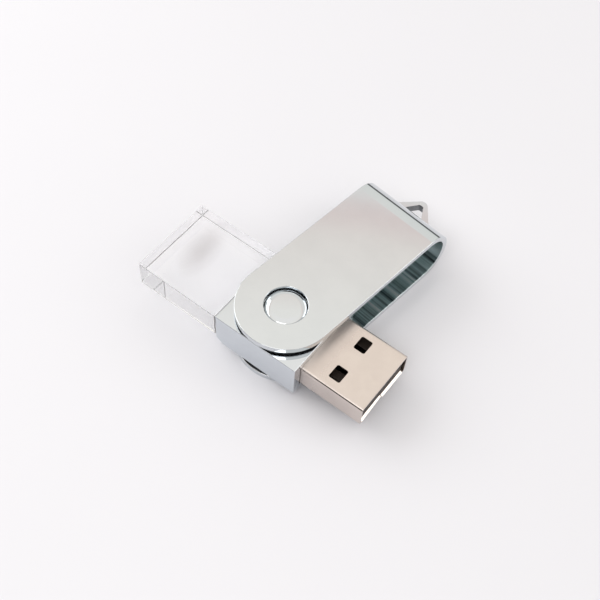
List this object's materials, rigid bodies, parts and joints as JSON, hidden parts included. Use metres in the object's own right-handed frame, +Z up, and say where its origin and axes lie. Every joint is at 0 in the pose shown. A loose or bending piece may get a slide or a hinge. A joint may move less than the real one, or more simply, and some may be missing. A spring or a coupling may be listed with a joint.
{
  "type": "usb flash drive",
  "caption": "Swivel flash drive: a square metal base holds a clear block and a plug at opposite ends, and a folded metal clip with a key loop turns about it.",
  "frame": {"origin": "on the pivot axis, in the plane that the drive rests on, which is the underside of the clip's lower leaf; the lower pivot cap's face is 0.3 mm above it", "axes": "+X along the plug, out of its mouth; +Z up along the pivot axis; +Y to the side, where the clip's closed bend points at rest"},
  "size_m": [0.0419, 0.0413, 0.0097],
  "materials": {
    "chrome_base": "polished chrome plate on cast zinc",
    "chrome_clip": "mirror-polished chrome plate on folded steel",
    "chrome_cap": "mirror-polished chrome plate",
    "clear_block": "clear, polished faces with fine chamfers",
    "clear_film": "clear cured adhesive",
    "nickel_shell": "bright nickel plate on drawn steel sheet",
    "black_tongue": "moulded, matt",
    "gold_contact": "gold flash on copper alloy",
    "solder": "bright solder",
    "board_green": "glass-epoxy board with green mask",
    "chip_black": "moulded epoxy",
    "oscillator_can": "seam-sealed metal can",
    "capacitor_tan": "ceramic with tinned ends",
    "resistor_dark": "ceramic with dark glaze and tinned ends",
    "led_white": "white package with a clear lens",
    "cradle_grey": "moulded insulating plastic",
    "washer_black": "die-cut nylon"
  },
  "bodies": {
    "drive": {"base_housing": "chrome_base", "crystal_block": "clear_block", "crystal_adhesive": "clear_film", "pivot_cap_top": "chrome_cap", "pivot_cap_bottom": "chrome_cap", "spacer_washer_top": "washer_black", "spacer_washer_bottom": "washer_black", "usb_shell": "nickel_shell", "usb_tongue": "black_tongue", "contact_vbus": "gold_contact", "contact_data_minus": "gold_contact", "contact_data_plus": "gold_contact", "contact_ground": "gold_contact", "contact_solder": "solder", "shell_solder": "solder", "circuit_board": "board_green", "controller_chip": "chip_black", "flash_chip": "chip_black", "clock_oscillator": "oscillator_can", "voltage_regulator": "chip_black", "capacitors": "capacitor_tan", "resistors": "resistor_dark", "indicator_led": "led_white", "cradle_lower": "cradle_grey", "cradle_upper": "cradle_grey"},
    "clip": {"swivel_clip": "chrome_clip", "key_loop": "chrome_clip"}
  },
  "joints": [
    {"name": "clip_swivel", "type": "hinge", "parent": "drive", "child": "clip", "pos_m": [0, 0, 0.00485], "axis": [0, 0, 1], "continuous": true}
  ]
}
